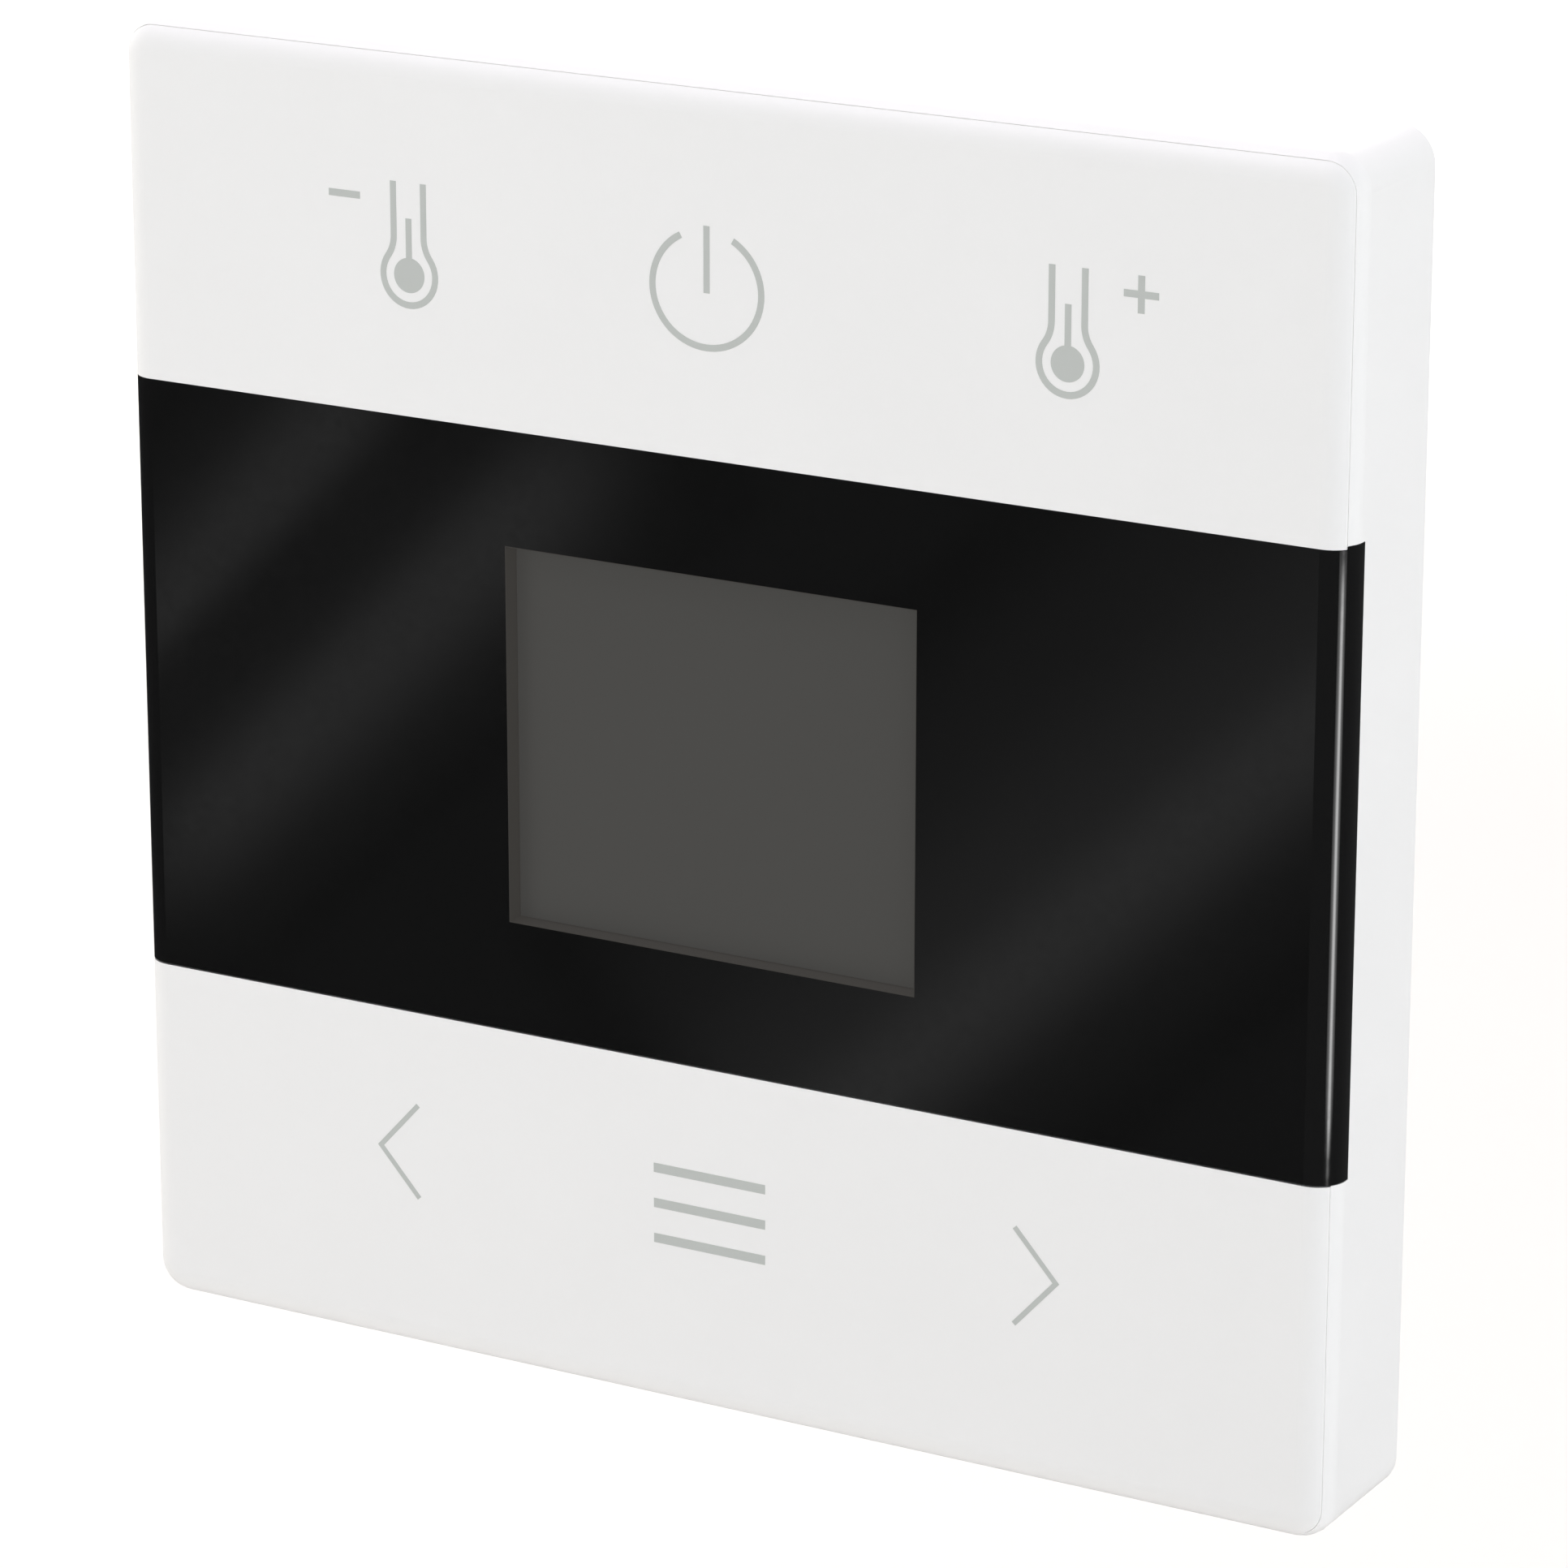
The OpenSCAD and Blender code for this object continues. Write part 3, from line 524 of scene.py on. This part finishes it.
def smoked_pane():
    """Matt grey window with a painted glow that lights it evenly and hides the shade at its edges."""
    material = moulded("smoked_pane", (0.028, 0.0275, 0.026), 0.6, 0.05, 0.0006, 0.01, 0.15)
    shader = material.node_tree.nodes["Principled BSDF"]
    # painted glow: the pane emits light so that it looks evenly lit
    shader.inputs["Emission Color"].default_value = (0.042, 0.041, 0.0385, 1)
    shader.inputs["Emission Strength"].default_value = 1.0
    return material


RECIPES = {
    "white_shell": white_plastic,
    "white_keys": white_plastic,
    "printed_symbols": lambda: moulded("grey_print", (0.50, 0.52, 0.50), 0.55, 0.06, 0.0008, 0.02, 0.3),
    "black_lens": lens_material,
    "smoked_pane": smoked_pane,
    "adhesive": lambda: moulded("black_tape", (0.02, 0.02, 0.02), 0.75, 0.12, 0.002),
    "foam": lambda: moulded("black_foam", (0.018, 0.018, 0.019), 0.95, 0.25, 0.05),
    "display_glass": lambda: moulded("display_glass", (0.05, 0.06, 0.065), 0.12, 1.0, 0.0002),
    "light_guide": lambda: moulded("light_guide", (0.75, 0.8, 0.82), 0.15, 0.3, 0.001),
    "tray": lambda: moulded("display_tray", (0.78, 0.78, 0.76), 0.5),
    "led": lambda: moulded("led_phosphor", (0.85, 0.72, 0.2), 0.35, 0.1, 0.002),
    "polyimide": lambda: moulded("polyimide_film", (0.42, 0.17, 0.03), 0.25, 0.3, 0.001),
    "black_moulding": lambda: moulded("black_moulding", (0.02, 0.02, 0.022), 0.55, 0.08, 0.003),
    "steel": lambda: turned_metal("zinc_plated_steel", (0.62, 0.63, 0.65), 0.3),
    "spring_steel": lambda: turned_metal(
        "spring_steel", (0.6, 0.6, 0.59), 0.34, (1, 1, 0.04), 0.08, 0.0002),
    "carrier_plastic": lambda: moulded("carrier_plastic", (0.6, 0.6, 0.58), 0.5),
    "silicone": lambda: moulded("grey_silicone", (0.4, 0.42, 0.44), 0.65, 0.15, 0.002),
    "board": lambda: moulded("solder_mask", (0.008, 0.1, 0.035), 0.35, 0.4, 0.004),
    "aluminium_can": lambda: turned_metal("aluminium_can", (0.8, 0.8, 0.82), 0.3, (1, 0.05, 1)),
    "ferrite": lambda: moulded("ferrite", (0.045, 0.045, 0.048), 0.7, 0.15, 0.006),
    "sensor_resin": lambda: moulded("sensor_resin", (0.3, 0.06, 0.03), 0.2, 0.5, 0.004),
    "terminal_plastic": lambda: moulded("terminal_plastic", (0.72, 0.7, 0.62), 0.45),
    "gold_plate": lambda: turned_metal("gold_plated_pin", (0.9, 0.62, 0.25), 0.22, (1, 0.05, 1)),
    "red_plastic": lambda: moulded("red_plastic", (0.5, 0.02, 0.015), 0.35),
    "light_pipe": lambda: moulded("red_light_pipe", (0.4, 0.03, 0.02), 0.12, 0.5, 0.001),
    "rear_plastic": lambda: moulded("rear_plastic", (0.72, 0.72, 0.71), 0.55, 0.25, 0.004, 0.02),
    "brass": lambda: turned_metal("brass", (0.78, 0.56, 0.26), 0.28),
}


def window_half_sizes():
    """Half sizes of the pane's front step, which fills the window."""
    points = [v.co for v in frame["nodes"]["display_window"].data.vertices]
    pane_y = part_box("display_window")[0].y
    front = [p for p in points if p.y < pane_y + 0.01 * MM]
    return max(p.x for p in front), max(p.z for p in front)


PANE_HALF_W, PANE_HALF_H = window_half_sizes()


def soften_edges(name, width):
    """Small rounding, given in mm, along the sharp edges of a moulded piece."""
    rounding = frame["nodes"][name].modifiers.new("soft_edges", "BEVEL")
    rounding.width = width * MM
    rounding.segments = 2
    rounding.limit_method = "ANGLE"
    rounding.angle_limit = math.radians(50)


def dress_frame():
    """Gives each CAD piece the material that the record names for it."""
    slots = {s["node"]: s["material_slot"] for s in frame["record"]["subparts"]}
    for name, piece in frame["nodes"].items():
        piece.data.materials.clear()
        piece.data.materials.append(material_for(slots[name]))
    soften_edges("rear_housing", 0.15)


# ---------------------------------------------------------------- printed symbols

# Ink: how far it stands out and reaches in, and the width of its strokes in mm
PRINT_T = 0.012 * MM
PRINT_ROOT = 0.01 * MM
LINE = 0.27


class Print:
    """Flat ink shapes, drawn in mm across the face and given a thin solid body."""

    def __init__(self):
        self.mesh = bmesh.new()

    def panel(self, outline):
        """One filled outline, given counterclockwise as seen from the front."""
        front = [self.mesh.verts.new((x * MM, FACE_Y - PRINT_T, z * MM)) for x, z in outline]
        back = [self.mesh.verts.new((x * MM, FACE_Y + PRINT_ROOT, z * MM)) for x, z in outline]
        self.mesh.faces.new(front)
        self.mesh.faces.new(back[::-1])
        count = len(outline)
        for i in range(count):
            j = (i + 1) % count
            self.mesh.faces.new((front[j], front[i], back[i], back[j]))

    def bar(self, x, z, width, height):
        self.panel([(x - width / 2, z - height / 2), (x + width / 2, z - height / 2),
                    (x + width / 2, z + height / 2), (x - width / 2, z + height / 2)])

    def cross(self, x, z, width, height, line):
        """Plus sign, as one outline."""
        w, h, t = width / 2, height / 2, line / 2
        quarter = [(w, -t), (w, t), (t, t), (t, h)]
        self.panel([(x + a, z + b) for a, b in (
            *quarter, (-t, h), (-t, t), (-w, t), (-w, -t), (-t, -t), (-t, -h), (t, -h), (t, -t))])

    def bulb(self, x, z, radius, top):
        """Filled bulb with a column that rises out of it, as one outline."""
        lean = math.degrees(math.asin(LINE / 2 / radius))
        self.panel([*arc(x, z, radius, 90 + lean, 450 - lean, 40),
                    (x + LINE / 2, top), (x - LINE / 2, top)])

    def line(self, points, width=LINE):
        """Stroke of even width along a path, with mitred bends and square ends."""
        path = [Vector(p) for p in points]
        left, right = [], []
        for i, here in enumerate(path):
            before = (here - path[i - 1]).normalized() if i else None
            after = (path[i + 1] - here).normalized() if i + 1 < len(path) else None
            ahead = ((before or after) + (after or before)).normalized()
            side = Vector((-ahead.y, ahead.x))
            reach = width / 2 / max(0.2, side.dot(Vector((-(after or before).y, (after or before).x))))
            left.append(here + side * reach)
            right.append(here - side * reach)
        rows = []
        for a, b in zip(left, right):
            rows.append([self.mesh.verts.new((p.x * MM, y, p.y * MM))
                         for p, y in ((a, FACE_Y - PRINT_T), (b, FACE_Y - PRINT_T),
                                      (b, FACE_Y + PRINT_ROOT), (a, FACE_Y + PRINT_ROOT))])
        for one, two in zip(rows, rows[1:]):
            for i in range(4):
                j = (i + 1) % 4
                self.mesh.faces.new((one[i], one[j], two[j], two[i]))
        self.mesh.faces.new(rows[0][::-1])
        self.mesh.faces.new(rows[-1])

    def piece(self, name, body):
        bmesh.ops.recalc_face_normals(self.mesh, faces=self.mesh.faces)
        data = bpy.data.meshes.new(name)
        self.mesh.to_mesh(data)
        self.mesh.free()
        data.materials.append(material_for("printed_symbols"))
        made = link(bpy.data.objects.new(name, data))
        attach(made, body)


def arc(x, z, radius, start, end, steps, squeeze=1.0):
    """Points along an arc. Angles in degrees, counterclockwise from the right."""
    turns = [math.radians(start + (end - start) * i / steps) for i in range(steps + 1)]
    return [(x + radius * math.cos(t), z + radius * squeeze * math.sin(t)) for t in turns]


def thermometer(ink, x):
    """Open tube that flares into a bulb ring, with a filled bulb and a short column. In mm."""
    bulb_z, top_z, column_top = 18.42, 22.18, 20.725
    ring_r, stem, flare_r = 1.217, 0.70, 1.4
    rise = math.sqrt((ring_r + flare_r) ** 2 - (stem + flare_r) ** 2)
    lean = math.degrees(math.atan2(rise, stem + flare_r))
    path = [(x - stem, top_z)]
    path += arc(x - stem - flare_r, bulb_z + rise, flare_r, 0, -lean, 10)
    path += arc(x, bulb_z, ring_r, 180 - lean, 360 + lean, 30)[1:]
    path += arc(x + stem + flare_r, bulb_z + rise, flare_r, 180 + lean, 180, 10)[1:]
    path += [(x + stem, top_z)]
    ink.line(path)
    ink.bulb(x, bulb_z, 0.71, column_top)


def upper_print():
    ink = Print()
    ink.bar(-16.65, 21.42, 1.47, 0.29)
    ink.piece("minus_sign", "upper_plate")
    for name, x in (("thermometer_left", -13.65), ("thermometer_right", 15.70)):
        ink = Print()
        thermometer(ink, x)
        ink.piece(name, "upper_plate")
    ink = Print()
    ink.line(arc(0, 19.45, 2.435, 118.5, 421.5, 64, 0.952))
    ink.bar(0, 20.63, LINE, 2.66)
    ink.piece("power_sign", "upper_plate")
    ink = Print()
    ink.cross(18.755, 21.445, 1.466, 1.45, 0.28)
    ink.piece("plus_sign", "upper_plate")


def lower_print():
    middle, reach, chevron_line = -18.685, 2.04, 0.215
    for name, side in (("chevron_left", -1), ("chevron_right", 1)):
        ink = Print()
        ink.line([(side * 13.89, middle + reach), (side * 15.74, middle),
                  (side * 13.89, middle - reach)], chevron_line)
        ink.piece(name, "lower_plate")
    ink = Print()
    for step in (-1, 0, 1):
        ink.bar(0, -18.745 + 1.518 * step, 5.18, 0.395)
    ink.piece("menu_sign", "lower_plate")


# ---------------------------------------------------------------- fittings on the back

# Recess of the cross-head screws: half width and reach of its arms, and its depth
CROSS_W = 0.24
CROSS_L = 1.0
CROSS_DEPTH = 0.55


def skin(mesh, rings, loop=False):
    """Closed skin over rings of points in mm. Its ends are capped, or joined to each other."""
    rows = [[mesh.verts.new(Vector(p) * MM) for p in ring] for ring in rings]
    for one, two in zip(rows, rows[1:] + rows[:1] if loop else rows[1:]):
        for i in range(len(one)):
            j = (i + 1) % len(one)
            mesh.faces.new((one[i], one[j], two[j], two[i]))
    if not loop:
        mesh.faces.new(rows[0])
        mesh.faces.new(rows[-1][::-1])


def finished(mesh, name, body, node, slot, smooth=35):
    """Turns the mesh into a piece that stands in for one CAD node."""
    bmesh.ops.remove_doubles(mesh, verts=mesh.verts, dist=0.0001 * MM)
    bmesh.ops.dissolve_degenerate(mesh, edges=mesh.edges, dist=0.0001 * MM)
    bmesh.ops.recalc_face_normals(mesh, faces=mesh.faces)
    for face in mesh.faces:
        face.smooth = True
    for edge in mesh.edges:
        edge.smooth = len(edge.link_faces) == 2 and edge.calc_face_angle() < math.radians(smooth)
    data = bpy.data.meshes.new(name)
    mesh.to_mesh(data)
    mesh.free()
    data.materials.append(material_for(slot))
    made = link(bpy.data.objects.new(name, data))
    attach(made, body)
    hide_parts(node)


def turned(x, z, turns, profile):
    """Rings about an axis along Y, from (radius, depth) pairs."""
    return [[(x + r * math.cos(t), y, z + r * math.sin(t)) for t in turns] for r, y in profile]


def threaded(x, z, turns, start, end, crest, root, pitch):
    """Rings that follow a helical thread and stop at flat ends."""
    rings = []
    for step in range(2 * math.ceil((end - start) / pitch) + 3):
        ring = []
        for t in turns:
            y = start + pitch * (step / 2 - 1 + t / math.tau)
            y = min(end, max(start, y))
            phase = ((y - start) / pitch - t / math.tau) % 1.0
            r = root + (crest - root) * (1 - abs(2 * phase - 1))
            ring.append((x + r * math.cos(t), y, z + r * math.sin(t)))
        rings.append(ring)
    return rings


def cross_turns():
    """Angles that meet every corner of the cross recess."""
    corner = math.atan2(CROSS_W, CROSS_L)
    half = [0, corner / 2, corner, math.radians(20), math.radians(27), math.radians(36)]
    quarter = half + [math.pi / 4] + [math.pi / 2 - t for t in half[:0:-1]]
    return [side * math.pi / 2 + t for side in range(4) for t in quarter]


def cross_ring(x, y, z, turns, size):
    """Outline of the cross recess at one depth."""
    ring = []
    for t in turns:
        across = min(abs(math.cos(t)), abs(math.sin(t)))
        r = size * min(CROSS_L, CROSS_W / max(across, 0.001))
        ring.append((x + r * math.cos(t), y, z + r * math.sin(t)))
    return ring


def housing_screws():
    """Self-tapping screws with a shallow domed head and a tapered cross recess."""
    low, high = (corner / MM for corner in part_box("housing_screws"))
    head_r, shank_r, head_t = 1.7, 0.85, 0.8
    reach = high.x - head_r
    seat, top = high.y - head_t, high.y
    turns = cross_turns()
    mesh = bmesh.new()
    for x in (-reach, reach):
        for z in (-reach, reach):
            rings = turned(x, z, turns, [(0.25, low.y), (0.6, low.y + 0.3)])
            rings += threaded(x, z, turns, low.y + 0.3, seat - 0.5, shank_r, 0.62, 0.6)
            rings += turned(x, z, turns, [
                (0.7, seat - 0.5), (0.72, seat), (1.62, seat), (head_r, seat + 0.06),
                (head_r, top - 0.3), (1.66, top - 0.19), (1.56, top - 0.11), (1.35, top - 0.06),
                (1.12, top - 0.03)])
            rings.append(cross_ring(x, top - 0.02, z, turns, 1.0))
            rings.append(cross_ring(x, top - 0.07, z, turns, 0.95))
            rings.append(cross_ring(x, top - CROSS_DEPTH, z, turns, 0.55))
            rings += turned(x, z, turns, [(0.06, top - CROSS_DEPTH - 0.08)])
            skin(mesh, rings)
    finished(mesh, "cross_head_screws", "base", "housing_screws", "steel")


def threaded_inserts():
    """Brass bushes with a countersunk thread for the support's screws."""
    low, high = (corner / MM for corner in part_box("threaded_inserts"))
    outer, crest, root = 2.0, 1.25, 1.47
    reach = high.x - outer
    turns = even_turns(64)
    mesh = bmesh.new()
    for x in (-reach, reach):
        rings = turned(x, 0, turns, [
            (outer - 0.12, low.y), (outer, low.y + 0.12), (outer, high.y - 0.1),
            (outer - 0.1, high.y - 0.01), (1.68, high.y - 0.01), (root + 0.02, high.y - 0.26)])
        bore = threaded(x, 0, turns, low.y + 0.26, high.y - 0.26, crest, root, 0.45)
        rings += bore[::-1]
        rings += turned(x, 0, turns, [(root + 0.02, low.y + 0.26), (root + 0.15, low.y)])
        skin(mesh, rings, loop=True)
    finished(mesh, "brass_inserts", "base", "threaded_inserts", "brass")


def spring_clips():
    """Bowed leaves of spring steel with rolled edges."""
    low, high = (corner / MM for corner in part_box("spring_clips"))
    leaf, width, crest, foot_l = 0.3, 6.0, 1.2, 0.55
    crest_x = high.x - leaf / 2
    clip_z = high.z - width / 2
    steps, roll = 36, 0.07
    mesh = bmesh.new()
    for side in (-1, 1):
        for z in (-clip_z, clip_z):
            line = []
            for i in range(steps + 1):
                y = low.y + (high.y - low.y) * i / steps
                bow = (y - low.y - foot_l) / (high.y - low.y - 2 * foot_l)
                bow = min(1.0, max(0.0, bow))
                line.append(Vector((crest_x - crest * (0.5 + 0.5 * math.cos(math.tau * bow)), y)))
            rings = []
            for i, here in enumerate(line):
                ahead = (line[min(i + 1, steps)] - line[max(i - 1, 0)]).normalized()
                out = Vector((ahead.y, -ahead.x))
                trim = roll if i in (0, steps) else 0.0
                h, w = leaf / 2 - trim / 2, width / 2 - trim
                outline = [(h - roll, w), (h, w - roll), (h, roll - w), (h - roll, -w),
                           (roll - h, -w), (-h, roll - w), (-h, w - roll), (roll - h, w)]
                rings.append([(side * (here.x + out.x * a), here.y + out.y * a, z + b)
                              for a, b in outline])
            skin(mesh, rings)
    finished(mesh, "bowed_clips", "base", "spring_clips", "spring_steel")


def programming_button():
    """Push button with a softly dished end and the collar that holds it in."""
    low, high = (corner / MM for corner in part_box("programming_button"))
    x, z = (low.x + high.x) / 2, (low.z + high.z) / 2
    collar_r = (high.x - low.x) / 2
    button_r = collar_r - 0.6
    collar_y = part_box("rear_housing")[1].y / MM - 1.5
    rings = turned(x, z, even_turns(56), [
        (0.2, low.y), (button_r - 0.1, low.y), (button_r, low.y + 0.1), (button_r, collar_y - 1.2),
        (collar_r - 0.08, collar_y - 1.2), (collar_r, collar_y - 1.12), (collar_r, collar_y - 0.08),
        (collar_r - 0.08, collar_y), (button_r, collar_y), (button_r, high.y - 0.25),
        (button_r - 0.06, high.y - 0.1), (button_r - 0.2, high.y - 0.02), (button_r - 0.35, high.y),
        (button_r - 0.55, high.y - 0.02), (button_r - 0.9, high.y - 0.08), (0.2, high.y - 0.12)])
    mesh = bmesh.new()
    skin(mesh, rings)
    finished(mesh, "dished_button", "programming_cap", "programming_button", "red_plastic")


def programming_light():
    """Light pipe with a domed end, standing on its lamp."""
    low, high = (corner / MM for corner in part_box("programming_light"))
    x, z = (low.x + high.x) / 2, (low.z + high.z) / 2
    pipe_r, lamp_t = 1.0, 0.8
    mesh = bmesh.new()
    rings = turned(x, z, even_turns(48), [
        (pipe_r, low.y + lamp_t / 2), (pipe_r, high.y - 0.3), (pipe_r - 0.05, high.y - 0.17),
        (pipe_r - 0.17, high.y - 0.08), (pipe_r - 0.4, high.y - 0.03), (0.2, high.y)])
    skin(mesh, rings)
    half_w, half_h, edge = (high.x - low.x) / 2, (high.z - low.z) / 2, 0.08
    lamp = []
    top = low.y + lamp_t
    for trim, y in ((edge, low.y), (0, low.y + edge), (0, top - edge), (edge, top)):
        w, h = half_w - trim, half_h - trim
        lamp.append([(x + a, y, z + b) for a, b in (
            (-w, -h + edge), (-w + edge, -h), (w - edge, -h), (w, -h + edge),
            (w, h - edge), (w - edge, h), (-w + edge, h), (-w, h - edge))])
    skin(mesh, lamp)
    finished(mesh, "domed_light", "base", "programming_light", "light_pipe")


# ---------------------------------------------------------------- soft switch mats

# Room over the outer domes of a switch mat
ROCK_ROOM = 0.27 * MM


def switch_mat(side):
    """Silicone mat under its carrier. Its outer domes are moved back to leave room for the rocking."""
    node = side + "_switch_mat"
    low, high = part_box(node)
    data = frame["nodes"][node].data.copy()
    for vertex in data.vertices:
        if abs(vertex.co.x) > 10 * MM and vertex.co.y < low.y + 0.1 * MM:
            vertex.co.y += ROCK_ROOM
    mat = link(bpy.data.objects.new(side + "_soft_mat", data))
    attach(mat, "base")
    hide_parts(node)
    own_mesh(mat)


bpy.context.scene.view_settings.view_transform = "Standard"
make_camera()
make_floor()
make_lights()
dress_frame()
upper_print()
lower_print()
housing_screws()
threaded_inserts()
spring_clips()
programming_button()
programming_light()
switch_mat("upper")
switch_mat("lower")
